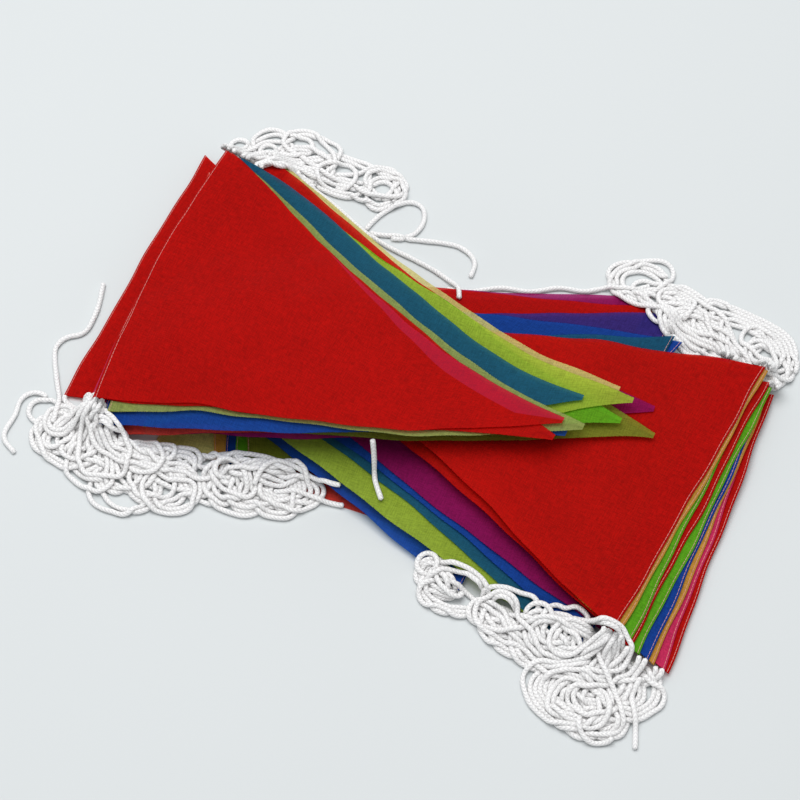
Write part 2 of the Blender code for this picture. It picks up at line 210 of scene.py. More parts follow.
# One row for each cord that is wound in a tangle: the pennant and side that it comes out of, the
# coils that it visits, how often it goes round each, and whether it ends bare or in another heading
Wound = namedtuple("Wound", "tangle stack number side coils turns far_end")
WOUND = [
    Wound("left_front", "left", 14, -1, (1, 0), 1.1, "object"),
    Wound("left_front", "left", 13, -1, (9, 1), 1.2, "object"),
    Wound("left_front", "left", 11, -1, (1, 2), 1.3, "object"),
    Wound("left_front", "left", 10, -1, (2, 3), 1.2, "object"),
    Wound("left_front", "left", 3, -1, (3, 8), 1.2, "object"),
    Wound("left_front", "left", 1, -1, (9, 0), 1.3, "bare"),
    Wound("left_front", "under", 2, -1, (8, 4), 1.2, "object"),
    Wound("left_front", "under", 3, -1, (5, 4), 1.3, "object"),
    Wound("left_front", "under", 4, -1, (6, 5), 1.4, "object"),
    Wound("left_front", "under", 5, -1, (7, 6), 1.2, "object"),
    Wound("left_front", "under", 6, -1, (7,), 1.6, "object"),
    Wound("left_back", "left", 14, 1, (0, 1), 1.2, "object"),
    Wound("left_back", "left", 11, 1, (1, 2), 1.3, "object"),
    Wound("left_back", "left", 7, 1, (2, 3), 1.3, "object"),
    Wound("left_back", "left", 9, 1, (3, 2), 1.2, "bare"),
    Wound("right_back", "right", 19, -1, (4, 3), 1.2, "object"),
    Wound("right_back", "right", 17, -1, (3, 4), 1.3, "object"),
    Wound("right_back", "right", 15, -1, (3, 2), 1.3, "object"),
    Wound("right_back", "right", 10, -1, (2, 1), 1.3, "object"),
    Wound("right_back", "right", 9, -1, (1, 0), 1.3, "bare"),
    Wound("right_front", "right", 19, 1, (6, 5), 1.3, "object"),
    Wound("right_front", "right", 18, 1, (7, 8), 1.1, "object"),
    Wound("right_front", "right", 16, 1, (7,), 1.2, "bare"),
    Wound("right_front", "right", 14, 1, (8, 7), 1.0, "object"),
    Wound("right_front", "right", 12, 1, (8,), 1.4, "object"),
    Wound("right_front", "right", 9, 1, (5, 4), 1.3, "object"),
    Wound("right_front", "right", 8, 1, (4, 3), 1.3, "object"),
    Wound("right_front", "right", 7, 1, (3, 2), 1.3, "object"),
    Wound("right_front", "right", 3, 1, (1, 0), 1.2, "object"),
]

# How many more short loops fill each tangle, under the cords above
FILLING = {"left_front": 24, "left_back": 5, "right_back": 8, "right_front": 18}

# Cords whose course shows, in millimetres. start is the height at which a cord comes out of a pile's
# side, where it hangs from one.
Laid = namedtuple("Laid", "name far_end route start", defaults=[None])
LAID = [
    Laid("left_loop", "object", [(-232, -2), (-243, 12), (-250, 8), (-249, -12), (-256, -30), (-248, -42)]),
    Laid("left_wisp", "bare", [(-226, -22), (-223, -6), (-226, 10), (-229, 34), (-222, 48), (-214, 40), (-205, 62), (-202, 84)]),
    Laid("back_loop", "object", [(-33, 128), (-25, 138), (-14, 147), (-3, 150), (5, 144), (4, 131), (-5, 121), (-16, 121)]),
    Laid("back_end", "bare", [(-80, 170), (-65, 158), (-50, 143), (-36, 128), (-19, 114), (-1, 103), (15, 92), (26, 80), (27, 66)]),
    Laid("back_thin", "bare", [(-30, 124), (-14, 122), (0, 119), (15, 117), (29, 113), (38, 102), (35, 90)]),
    Laid("right_edge", "object", [(150, 82), (137, 78), (123, 81), (108, 78), (92, 81), (73, 78), (54, 81), (34, 78), (20, 80)]),
    Laid("front_end", "bare", [(128, -196), (122, -208), (124, -222), (123, -238)]),
    Laid("front_loop", "object", [(110, -232), (98, -242), (88, -236), (92, -220)]),
    Laid("over_upper", "object", [(-99, -68), (-94, -57), (-82, -54), (-68, -60), (-55, -69), (-47, -71)]),
    Laid("over_lower", "object", [(-88, -70), (-72, -72), (-57, -77), (-45, -80)]),
    Laid("hanging", "bare", [(-27, -57), (-26, -62), (-26, -70), (-22, -83)], 41),
]

SEED = 11
RING_STEP = 0.0012
RING_SIDES = 8
SOFTEN = 0.0022  # how far a cord's course is rounded
BALL_STEP = 0.0024  # cords settle as strings of balls
BEND = 0.0078  # the tightest bend that they keep
PRESSED = 0.92  # cords are soft, and flatten this much where they touch
ROUNDS = 320
FALL_STEP = 0.00022
HIGH_CLOTH = 0.0115  # cords keep beside cloth that is higher than this
CELL_FINE = 0.001
FINE_X, FINE_Y = 290, 270  # half the size of the fine grid, in its cells


def linear(code):
    """An sRGB hex value as linear red, green and blue."""
    channels = [int(code[i : i + 2], 16) / 255 for i in (1, 3, 5)]
    return tuple(c / 12.92 if c <= 0.04045 else ((c + 0.055) / 1.055) ** 2.4 for c in channels)


def colour_property(name, description, code):
    return FloatVectorProperty(
        name=name, description=description, subtype="COLOR", size=3, min=0, max=1, default=linear(code)
    )


class BuntingCloth(bpy.types.PropertyGroup):
    """The pennants' cut, how see-through the cloth is, and its colours."""

    width: FloatProperty(name="Width", description="Width of a pennant at its heading", default=0.205, subtype="DISTANCE", unit="LENGTH")
    length: FloatProperty(name="Length", description="From the heading to the point", default=0.277, subtype="DISTANCE", unit="LENGTH")
    point: FloatProperty(name="Point", description="Width that is left at the point", default=0.004, subtype="DISTANCE", unit="LENGTH")
    thread: FloatProperty(name="Thread spacing", description="Spacing of the weave as drawn", default=0.0009, precision=5, subtype="DISTANCE", unit="LENGTH")
    openness: FloatProperty(name="Openness", description="Share of the cloth that lets sight through", default=0.24, min=0, max=1, subtype="FACTOR")
    glow: FloatProperty(name="Glow", description="Share of the light that comes through from behind", default=0.30, min=0, max=1, subtype="FACTOR")
    red: colour_property("Red", "The red cloth", "#C40F09")
    coral: colour_property("Coral", "Red cloth in one layer", "#DC4438")
    pink: colour_property("Pink", "The pink cloth", "#D8386A")
    magenta: colour_property("Magenta", "The magenta cloth", "#96125A")
    purple: colour_property("Purple", "The purple cloth", "#3C3084")
    blue: colour_property("Blue", "The blue cloth", "#1A4AA4")
    teal: colour_property("Teal", "Blue cloth over green", "#1E5C7C")
    green: colour_property("Green", "The green cloth", "#68B422")
    lime: colour_property("Lime", "The yellow-green cloth", "#A4BE3C")
    olive: colour_property("Olive", "Green cloth over yellow", "#828C2C")
    pale: colour_property("Pale green", "Pale green cloth", "#9CAA5E")
    cream: colour_property("Yellow", "The yellow cloth", "#D2C878")
    amber: colour_property("Amber", "The orange-yellow cloth", "#D29E44")


class BuntingCord(bpy.types.PropertyGroup):
    """The cord's size and make."""

    diameter: FloatProperty(name="Diameter", description="Diameter of the braided cord", default=0.0032, precision=4, subtype="DISTANCE", unit="LENGTH")
    braid: FloatProperty(name="Braid pitch", description="Length of one chevron of the braid", default=0.0024, precision=4, subtype="DISTANCE", unit="LENGTH")
    colour: colour_property("Colour", "The cord's white", "#F6F5F4")
    seed: IntProperty(name="Seed", description="Which of the possible tangles is made", default=SEED)


class BuntingStitch(bpy.types.PropertyGroup):
    """The stitches along the headings."""

    pitch: FloatProperty(name="Pitch", description="From one stitch to the next", default=0.0028, precision=4, subtype="DISTANCE", unit="LENGTH")
    length: FloatProperty(name="Length", description="Length of a stitch", default=0.0023, precision=4, subtype="DISTANCE", unit="LENGTH")
    thread: FloatProperty(name="Thread", description="Diameter of the thread", default=0.00026, precision=5, subtype="DISTANCE", unit="LENGTH")
    colour: colour_property("Colour", "The thread's colour", "#E8A8A0")


class BuntingStage(bpy.types.PropertyGroup):
    """The floor and the light."""

    floor: colour_property("Floor", "Pale grey floor", "#D0D4D5")
    key: FloatProperty(name="Key light", description="Power of the soft light overhead", default=44.0, min=0, subtype="POWER")
    sky: FloatProperty(name="Sky", description="Strength of the light from all round", default=0.52, min=0, subtype="FACTOR")


def on_plan(x, y):
    """A place in the tables, in metres from the middle of the pennants' box."""
    return (x - MIDDLE_X) * MM, (y - MIDDLE_Y) * MM


def turned(x, y, angle):
    return x * math.cos(angle) - y * math.sin(angle), x * math.sin(angle) + y * math.cos(angle)


def waves(places, rng, low, high, count=5):
    """A smooth uneven line of about unit height; low and high bound its wave lengths in metres."""
    total = np.zeros_like(places)
    for _ in range(count):
        length = rng.uniform(low, high)
        total += np.sin(2 * np.pi * places / length + rng.uniform(0, 2 * np.pi))
    return total / math.sqrt(count)


def lattice_corners(x, y):
    """The lattice points of the triangle that each place lies in."""
    column, row = np.floor(x / CELL).astype(int), np.floor(y / CELL).astype(int)
    right, up = x / CELL - column, y / CELL - row
    near = np.stack([column, row], axis=1) + LATTICE_HALF
    side = np.where((right >= up)[:, None], [1, 0], [0, 1])
    return np.unique(np.concatenate([near, near + side, near + 1]), axis=0)


def raise_lattice(heights, reached):
    """Adds one sheet to the heights: in full where it reaches, and falling away beside it."""
    points = np.argwhere(np.ones_like(heights, bool))
    apart = np.linalg.norm(points[:, None, :] - reached[None, :, :], axis=2).min(axis=1) * CELL
    share = np.clip(1 - apart / FALL, 0, 1)
    heights += PITCH * (share * share * (3 - 2 * share)).reshape(heights.shape)


def spline_shares(u):
    return ((1 - u) ** 3 / 6, (3 * u**3 - 6 * u**2 + 4) / 6, (-3 * u**3 + 3 * u**2 + 3 * u + 1) / 6, u**3 / 6)


def spline_mean(heights):
    """What the rounding makes of the heights at the lattice's own points."""
    padded = np.pad(heights, 1, mode="edge")
    rows = (padded[:-2] + 4 * padded[1:-1] + padded[2:]) / 6
    return (rows[:, :-2] + 4 * rows[:, 1:-1] + rows[:, 2:]) / 6


def surface(x, y, heights):
    """Heights between the lattice points, rounded, so that the sheets have no creases there."""
    left, low = np.floor(x / CELL).astype(int), np.floor(y / CELL).astype(int)
    across, up = spline_shares(x / CELL - left), spline_shares(y / CELL - low)
    total = np.zeros_like(x)
    for i in range(4):
        for j in range(4):
            total += across[i] * up[j] * heights[left + i - 1 + LATTICE_HALF, low + j - 1 + LATTICE_HALF]
    return total + swell(x, y) * total / (total + 0.008)


def swell(x, y):
    """The soft unevenness that all the sheets of a pile share."""
    rng = np.random.default_rng(SEED)
    total = np.zeros_like(x)
    for size, low, high, count in ((0.0012, 0.07, 0.16, 7), (0.00045, 0.024, 0.05, 9)):
        for _ in range(count):
            angle = rng.uniform(0, np.pi)
            along = x * math.cos(angle) + y * math.sin(angle)
            total += size / math.sqrt(count) * 1.4 * np.sin(2 * np.pi * along / rng.uniform(low, high) + rng.uniform(0, 6.28))
    return total


class Sheet:
    """One pennant's place in the pile, and the heights that it lies on."""

    def __init__(self, stack, number, pennant, cloth, heights):
        self.name = f"{stack}_{number:02d}_{pennant.colour}"
        self.stack, self.number, self.pennant = stack, number, pennant
        self.width, self.length, self.point = cloth.width, cloth.length, cloth.point
        # the prefilter makes the rounded surface pass through the lattice's own heights
        self.heights = 2 * heights - spline_mean(heights)
        self.up_pile = number / len(PENNANTS[stack])
        self.wave = np.random.default_rng([SEED, list(STACKS).index(stack), number]).uniform(0, 2 * np.pi, 8)

    def half_width(self, t):
        return self.width / 2 * (1 - t) ** SIDE_CURVE + self.point / 2 * t

    def place(self, back, side):
        """Plan coordinates of places given by how far back they are from the fold and where between the sides."""
        p = self.pennant
        t = np.clip(back / self.length, 0, 1)
        half = self.half_width(t)
        w = self.wave
        # cut edges and the fold are a little wavy
        half = half + np.abs(side) ** 6 * (
            0.0004 * np.sin(back / 0.011 + w[0] + side) + 0.0003 * np.sin(back / 0.0061 + w[1] - 2 * side)
        ) * (1 - t) ** 0.5
        across = side * half
        fold = 0.0006 * np.sin(across / 0.0165 + w[2]) + 0.0003 * np.sin(across / 0.0071 + w[3])
        slant = -across * math.tan(math.radians(p.lean)) * (1 - t)
        stack = STACKS[self.stack]
        bulge = self.up_pile * (stack.reach + stack.belly * (1 - side**2)) * MM
        x = back + slant + fold * np.clip(1 - back / 0.03, 0, 1) - bulge * np.clip(1 - t / HEADING_REACH, 0, 1)
        y = (p.bow * np.sin(np.pi * t) + p.sway * np.sin(2 * np.pi * t)) * MM + across
        axis = math.radians(stack.axis)
        move = turned(p.along * MM, p.across * MM, axis)
        head = on_plan(stack.x, stack.y)
        x, y = turned(x, y, axis + math.radians(p.turn))
        return x + head[0] + move[0], y + head[1] + move[1]

    def lift(self, back, side):
        """How far the top of the cloth is over what it lies on."""
        backs = np.array([s.back for s in HEM[9:]] + [300.0]) * MM
        lifts = np.array([s.lift for s in HEM[9:]] + [0.18]) * MM
        return np.interp(back, backs, lifts)

    def own_wave(self, back, side):
        """A faint unevenness of this sheet alone."""
        w = self.wave
        across = side * self.width / 2
        return 0.00014 * (
            np.sin(back / 0.013 + across / 0.031 + w[4]) + np.sin(across / 0.0072 - back / 0.035 + w[5]) * np.clip(1 - back / 0.25, 0.2, 1)
        )

    def at(self, back, side, lift=None):
        """Places on the cloth, in the frame."""
        x, y = self.place(back, side)
        z = surface(x, y, self.heights)
        z = z + (self.lift(back, side) if lift is None else lift) + self.own_wave(back, side)
        return np.stack([x, y, np.maximum(z, 0.00003)], axis=-1)


def lay_sheets(cloth):
    """All the pennants from the bottom up, and the heights over the last one."""
    heights = np.zeros((2 * LATTICE_HALF + 2, 2 * LATTICE_HALF + 2))
    sheets = []
    back, side = np.meshgrid(np.linspace(0, cloth.length, 90), np.linspace(-1, 1, 61), indexing="ij")
    for stack, rows in PENNANTS.items():
        for number, pennant in enumerate(rows, 1):
            sheet = Sheet(stack, number, pennant, cloth, heights.copy())
            x, y = sheet.place(back, side)
            raise_lattice(heights, lattice_corners(x.ravel(), y.ravel()))
            sheets.append(sheet)
    return sheets


def new_mesh_object(name, points, *faces):
    """An object from arrays of points and of faces, one array for each number of corners."""
    mesh = bpy.data.meshes.new(name)
    mesh.vertices.add(len(points))
    mesh.vertices.foreach_set("co", np.asarray(points, np.float32).ravel())
    sizes = np.concatenate([np.full(len(group), group.shape[1]) for group in faces])
    corners = np.concatenate([group.ravel() for group in faces])
    mesh.loops.add(len(corners))
    mesh.loops.foreach_set("vertex_index", corners.astype(np.int32))
    mesh.polygons.add(len(sizes))
    mesh.polygons.foreach_set("loop_start", np.concatenate([[0], np.cumsum(sizes)[:-1]]).astype(np.int32))
    mesh.update(calc_edges=True)
    mesh.shade_smooth()
    obj = bpy.data.objects.new(name, mesh)
    bpy.context.scene.collection.objects.link(obj)
    return obj


def add_uv(obj, layer, values):
    """A UV map with a value for each corner of each face."""
    uv = obj.data.uv_layers.new(name=layer)
    uv.data.foreach_set("uv", np.asarray(values, np.float32).ravel())


def grid_faces(rows, columns, first=0):
    """Quads of a grid of points, row by row."""
    i, j = np.meshgrid(np.arange(rows - 1), np.arange(columns - 1), indexing="ij")
    corner = (first + i * columns + j).ravel()
    return np.stack([corner, corner + columns, corner + columns + 1, corner + 1], axis=1)


def cloth_rows(cloth):
    """How far back each row of the grid is, and its lift where it belongs to the hem."""
    rows = [(s.back * MM, s.lift * MM) for s in HEM]
    count = round((cloth.length - rows[-1][0]) / ROW_STEP)
    rows += [(back, None) for back in np.linspace(rows[-1][0], cloth.length, count + 1)[1:]]
    return rows


def make_sheet(sheet, cloth, material):
    """The cloth of one pennant, from the hem's cut edge, round the fold, to the point."""
    rows = cloth_rows(cloth)
    # columns stand closer near the sides
    even = np.linspace(-1, 1, COLUMNS)
    side = np.sin(even * np.pi / 2) * 0.35 + even * 0.65
    points, cuts, edges = [], [], []
    under = HEM.index(min(HEM, key=lambda s: s.back))
    for number, (back, lift) in enumerate(rows):
        backs = np.full(COLUMNS, back)
        points.append(sheet.at(backs, side, lift))
        half = sheet.half_width(np.clip(backs / cloth.length, 0, 1))
        cut = -backs if number < under else backs
        cuts.append(np.stack([cut, side * half], axis=1))
        edges.append(np.stack([cut, half * (1 - np.abs(side))], axis=1))
    faces = grid_faces(len(rows), COLUMNS)
    obj = new_mesh_object("cloth_" + sheet.name, np.concatenate(points), faces)
    add_uv(obj, "cloth", np.concatenate(cuts)[faces])
    add_uv(obj, "edge", np.concatenate(edges)[faces])
    obj.data.materials.append(material)
    return obj


def add_node(tree, kind, settings=None, inputs=None, links=None):
    """A node with its settings, socket values and the sockets that feed it."""
    node = tree.nodes.new(kind)
    for name, value in (settings or {}).items():
        setattr(node, name, value)
    for name, value in (inputs or {}).items():
        node.inputs[name].default_value = value
    for name, socket in (links or {}).items():
        tree.links.new(socket, node.inputs[name])
    return node


def new_material(name):
    material = bpy.data.materials.new(name)
    material.use_nodes = True
    material.node_tree.nodes.clear()
    return material


def cloth_material(colour, cloth, single=False):
    """Sheer polyester voile in plain weave: matt, with a faint sheen, and what lies behind shows as a soft shade."""
    material = new_material("polyester_voile_" + colour + ("_single" if single else ""))
    tree = material.node_tree
    base = (*getattr(cloth, colour), 1)
    place = add_node(tree, "ShaderNodeUVMap", {"uv_map": "cloth"})
    edge = add_node(tree, "ShaderNodeUVMap", {"uv_map": "edge"})
    # the real threads stand about 0.25 mm apart, too fine to show, so they are drawn wider
    weave = []
    for axis in ("X", "Y"):
        weave.append(add_node(
            tree, "ShaderNodeTexWave", {"wave_type": "BANDS", "bands_direction": axis, "wave_profile": "SIN"},
            {"Scale": math.pi / (10 * cloth.thread), "Distortion": 0.6, "Detail": 1.0, "Detail Scale": 40.0},
            {"Vector": place.outputs["UV"]},
        ))
    crossing = add_node(tree, "ShaderNodeMath", {"operation": "MULTIPLY"}, None, {0: weave[0].outputs["Fac"], 1: weave[1].outputs["Fac"]})
    # single threads are thicker here and there, which gives a grain of short dashes both ways
    grains = []
    for scale in ((180, 1500, 1), (1500, 180, 1)):
        dash_at = add_node(tree, "ShaderNodeMapping", None, {"Scale": scale}, {"Vector": place.outputs["UV"]})
        grains.append(add_node(tree, "ShaderNodeTexNoise", {"noise_dimensions": "2D"}, {"Scale": 1.0, "Detail": 2.0}, {"Vector": dash_at.outputs["Vector"]}))
    grain = add_node(tree, "ShaderNodeMath", {"operation": "ADD"}, None, {0: grains[0].outputs["Fac"], 1: grains[1].outputs["Fac"]})
    mottle = add_node(tree, "ShaderNodeTexNoise", {"noise_dimensions": "2D"}, {"Scale": 22.0, "Detail": 5.0, "Roughness": 0.6}, {"Vector": place.outputs["UV"]})
    shade = add_node(tree, "ShaderNodeMath", {"operation": "MULTIPLY_ADD"}, {1: 0.35}, {0: mottle.outputs["Fac"], 2: grain.outputs[0]})
    tone = add_node(tree, "ShaderNodeMapRange", None, {"From Min": 0.85, "From Max": 1.5, "To Min": 0.78, "To Max": 1.22}, {"Value": shade.outputs[0]})
    dyed = add_node(tree, "ShaderNodeVectorMath", {"operation": "SCALE"}, {0: base[:3]}, {"Scale": tone.outputs["Result"]}).outputs["Vector"]
    parts = add_node(tree, "ShaderNodeSeparateXYZ", None, None, {"Vector": edge.outputs["UV"]})
    if single:
        # along one side no other red layer lies below, so the cloth is pinker there
        across = add_node(tree, "ShaderNodeSeparateXYZ", None, None, {"Vector": place.outputs["UV"]})
        reach = add_node(tree, "ShaderNodeMapRange", None, {"From Min": 0.09, "From Max": 0.20, "To Min": 0.0, "To Max": 0.011}, {"Value": parts.outputs["X"]})
        near_side = add_node(tree, "ShaderNodeMath", {"operation": "LESS_THAN"}, None, {0: parts.outputs["Y"], 1: reach.outputs["Result"]})
        that_side = add_node(tree, "ShaderNodeMath", {"operation": "GREATER_THAN"}, {1: 0.0}, {0: across.outputs["Y"]})
        there = add_node(tree, "ShaderNodeMath", {"operation": "MULTIPLY"}, None, {0: near_side.outputs[0], 1: that_side.outputs[0]})
        pinker = add_node(tree, "ShaderNodeMath", {"operation": "MULTIPLY"}, {1: 0.30}, {0: there.outputs[0]})
        dyed = add_node(tree, "ShaderNodeMix", {"data_type": "RGBA"}, {7: (*cloth.pink, 1)}, {0: pinker.outputs[0], 6: dyed}).outputs[2]
    height = add_node(tree, "ShaderNodeMath", {"operation": "MULTIPLY_ADD"}, {1: 0.5}, {0: crossing.outputs[0], 2: grain.outputs[0]})
    bump = add_node(tree, "ShaderNodeBump", None, {"Strength": 0.45, "Distance": 0.0002}, {"Height": height.outputs[0]})
    front = add_node(
        tree, "ShaderNodeBsdfPrincipled", None,
        {"Roughness": 0.8, "IOR": 1.45, "Specular IOR Level": 0.12, "Sheen Weight": 0.04, "Sheen Roughness": 0.4},
        {"Base Color": dyed, "Normal": bump.outputs["Normal"]},
    )
    behind = add_node(tree, "ShaderNodeBsdfTranslucent", None, None, {"Color": dyed, "Normal": bump.outputs["Normal"]})
    body = add_node(tree, "ShaderNodeMixShader", None, {"Fac": cloth.glow}, {1: front.outputs[0], 2: behind.outputs[0]})
    # the cut edge frays, with a fringe too short for geometry, drawn as spots that let sight through
    fringe_at = add_node(tree, "ShaderNodeMapping", None, {"Scale": (1500, 500, 1)}, {"Vector": edge.outputs["UV"]})
    fringe = add_node(tree, "ShaderNodeTexNoise", {"noise_dimensions": "2D"}, {"Scale": 1.0, "Detail": 2.0}, {"Vector": fringe_at.outputs["Vector"]})
    near = add_node(tree, "ShaderNodeMapRange", None, {"From Min": 0.0, "From Max": 0.0008, "To Min": 0.62, "To Max": 0.0}, {"Value": parts.outputs["Y"]})
    cut = add_node(tree, "ShaderNodeMath", {"operation": "LESS_THAN"}, None, {0: fringe.outputs["Fac"], 1: near.outputs["Result"]})
    clear = add_node(tree, "ShaderNodeMath", {"operation": "MULTIPLY_ADD"}, {1: 1 - cloth.openness, 2: cloth.openness}, {0: cut.outputs[0]})
    # what shows through the weave is tinted by the threads that it passes
    open_weave = add_node(tree, "ShaderNodeBsdfTransparent", None, {"Color": (*(channel**0.3 for channel in base[:3]), 1)})
    sheer = add_node(tree, "ShaderNodeMixShader", None, None, {0: clear.outputs[0], 1: body.outputs[0], 2: open_weave.outputs[0]})
    add_node(tree, "ShaderNodeOutputMaterial", None, None, {"Surface": sheer.outputs[0]})
    return material


def cord_material(cord):
    """Braided polypropylene cord: bright white strands in chevrons, with painted shade, a soft grey, between them."""
    material = new_material("braided_polypropylene")
    tree = material.node_tree
    place = add_node(tree, "ShaderNodeUVMap", {"uv_map": "braid"})
    parts = add_node(tree, "ShaderNodeSeparateXYZ", None, None, {"Vector": place.outputs["UV"]})
    # folding the way round into a zigzag turns bands into chevrons
    around = add_node(tree, "ShaderNodeMath", {"operation": "PINGPONG"}, {1: 0.25}, {0: parts.outputs["X"]})
    slope = add_node(tree, "ShaderNodeMath", {"operation": "MULTIPLY_ADD"}, {1: 5.0 * cord.braid}, {0: around.outputs[0], 2: parts.outputs["Y"]})
    turns = add_node(tree, "ShaderNodeMath", {"operation": "MULTIPLY"}, {1: 2 * math.pi / cord.braid}, {0: slope.outputs[0]})
    strand = add_node(tree, "ShaderNodeMath", {"operation": "SINE"}, None, {0: turns.outputs[0]})
    height = add_node(tree, "ShaderNodeMapRange", None, {"From Min": -1.0, "From Max": 0.2, "To Min": 0.0, "To Max": 1.0}, {"Value": strand.outputs[0]})
    # the grey between the strands is painted shade in the grooves of the braid
    colour = add_node(tree, "ShaderNodeMix", {"data_type": "RGBA"}, None, {"Factor": height.outputs["Result"]})
    white = tuple(cord.colour)
    colour.inputs[6].default_value = (white[0] * 0.84, white[1] * 0.835, white[2] * 0.85, 1)
    colour.inputs[7].default_value = (*white, 1)
    bump = add_node(tree, "ShaderNodeBump", None, {"Strength": 0.8, "Distance": 0.0004}, {"Height": height.outputs["Result"]})
    shader = add_node(
        tree, "ShaderNodeBsdfPrincipled", None, {"Roughness": 0.62, "IOR": 1.49, "Specular IOR Level": 0.35, "Subsurface Weight": 0.75, "Subsurface Radius": (1, 1, 1), "Subsurface Scale": 0.003},
        {"Base Color": colour.outputs[2], "Normal": bump.outputs["Normal"]},
    )
    add_node(tree, "ShaderNodeOutputMaterial", None, None, {"Surface": shader.outputs[0]})
    return material


def thread_material(stitch):
    """Spun polyester sewing thread: a pale matt line with a twist too fine to show, drawn coarser."""
    material = new_material("spun_polyester_thread")
    tree = material.node_tree
    place = add_node(tree, "ShaderNodeTexCoord")
    twist = add_node(tree, "ShaderNodeTexNoise", None, {"Scale": 900.0, "Detail": 1.0}, {"Vector": place.outputs["Object"]})
    tone = add_node(tree, "ShaderNodeMapRange", None, {"To Min": 0.75, "To Max": 1.05}, {"Value": twist.outputs["Fac"]})
    colour = add_node(tree, "ShaderNodeVectorMath", {"operation": "SCALE"}, {0: tuple(stitch.colour)}, {"Scale": tone.outputs["Result"]})
    shader = add_node(tree, "ShaderNodeBsdfPrincipled", None, {"Roughness": 0.7, "IOR": 1.45, "Sheen Weight": 0.1}, {"Base Color": colour.outputs["Vector"]})
    add_node(tree, "ShaderNodeOutputMaterial", None, None, {"Surface": shader.outputs[0]})
    return material


def floor_material(stage):
    """Matt painted board, with the faintest mottle."""
    material = new_material("matt_painted_board")
    tree = material.node_tree
    place = add_node(tree, "ShaderNodeTexCoord")
    noise = add_node(tree, "ShaderNodeTexNoise", None, {"Scale": 3.0, "Detail": 2.0}, {"Vector": place.outputs["Object"]})
    tone = add_node(tree, "ShaderNodeMapRange", None, {"To Min": 0.985, "To Max": 1.015}, {"Value": noise.outputs["Fac"]})
    colour = add_node(tree, "ShaderNodeVectorMath", {"operation": "SCALE"}, {0: tuple(stage.floor)}, {"Scale": tone.outputs["Result"]})
    shader = add_node(tree, "ShaderNodeBsdfPrincipled", None, {"Roughness": 0.9, "Specular IOR Level": 0.1}, {"Base Color": colour.outputs["Vector"]})
    add_node(tree, "ShaderNodeOutputMaterial", None, None, {"Surface": shader.outputs[0]})
    return material


def inside(x, y, outline):
    """Whether each place is inside the closed outline."""
    found = np.zeros(x.shape, bool)
    for (ax, ay), (bx, by) in zip(outline, np.roll(outline, -1, axis=0)):
        crosses = (ay > y) != (by > y)
        with np.errstate(divide="ignore", invalid="ignore"):
            found ^= crosses & (x < (bx - ax) * (y - ay) / (by - ay) + ax)
    return found


def outline_of(sheet):
    t = np.linspace(0, sheet.length, 24)
    ones = np.ones_like(t)
    right = np.stack(sheet.place(t, -ones), axis=1)
    left = np.stack(sheet.place(t, ones), axis=1)
    return np.concatenate([right, left[::-1]])


class Ground:
    """The height of whatever lies at each place of a fine grid, for cords to lie on."""

    def __init__(self, sheets):
        self.x = (np.arange(2 * FINE_X) - FINE_X) * CELL_FINE
        self.y = (np.arange(2 * FINE_Y) - FINE_Y) * CELL_FINE
        self.top = np.zeros((2 * FINE_X, 2 * FINE_Y))
        self.sheets = sheets
        self.outlines = [outline_of(sheet) for sheet in sheets]
        for sheet, outline in zip(sheets, self.outlines):
            low, high = self.cells(outline.min(axis=0)), self.cells(outline.max(axis=0))
            part = (slice(low[0], high[0] + 2), slice(low[1], high[1] + 2))
            x, y = np.meshgrid(self.x[part[0]], self.y[part[1]], indexing="ij")
            here = inside(x, y, outline)
            z = surface(x[here], y[here], sheet.heights) + 0.0009
            self.top[part][here] = np.maximum(self.top[part][here], z)
        self.cloth = self.top.copy()
        smooth = self.cloth
        for _ in range(6):
            padded = np.pad(smooth, 1, mode="edge")
            smooth = (padded[:-2, 1:-1] + padded[2:, 1:-1] + padded[1:-1, :-2] + padded[1:-1, 2:]) / 4
        self.smooth = smooth

    def cells(self, place):
        return (
            int(round(place[0] / CELL_FINE)) + FINE_X,
            int(round(place[1] / CELL_FINE)) + FINE_Y,
        )

    def indices(self, line):
        i = np.clip(np.round(line[:, 0] / CELL_FINE).astype(int) + FINE_X, 2, 2 * FINE_X - 3)
        j = np.clip(np.round(line[:, 1] / CELL_FINE).astype(int) + FINE_Y, 2, 2 * FINE_Y - 3)
        return i, j

    def covered(self, place, above):
        """Whether a sheet over the numbered one covers the place."""
        x, y = np.array([place[0]]), np.array([place[1]])
        return any(inside(x, y, outline)[0] for outline in self.outlines[above + 1 :])


def close_pairs(x, owner, reach):
    """Pairs of balls within reach of each other, but for near ones on the same cord."""
    cell = np.floor(x / reach).astype(np.int64) + 500
    key = (cell[:, 0] * 1000 + cell[:, 1]) * 1000 + cell[:, 2]
    order = np.argsort(key, kind="stable")
    ordered = key[order]
    pairs = []
    shifts = [(i * 1000 + j) * 1000 + k for i in (-1, 0, 1) for j in (-1, 0, 1) for k in (-1, 0, 1)]
    for shift in (each for each in shifts if each >= 0):
        first = np.searchsorted(ordered, key + shift, "left")
        count = np.searchsorted(ordered, key + shift, "right") - first
        a = np.repeat(np.arange(len(x)), count)
        b = order[np.repeat(first - np.cumsum(count) + count, count) + np.arange(len(a))]
        keep = (a < b) if shift == 0 else np.ones(len(a), bool)
        pairs.append(np.stack([a[keep], b[keep]]))
    a, b = np.concatenate(pairs, axis=1)
    apart = (owner[a] != owner[b]) | (np.abs(a - b) > 4)
    near = ((x[a] - x[b]) ** 2).sum(axis=1) < reach**2
    return a[apart & near], b[apart & near]


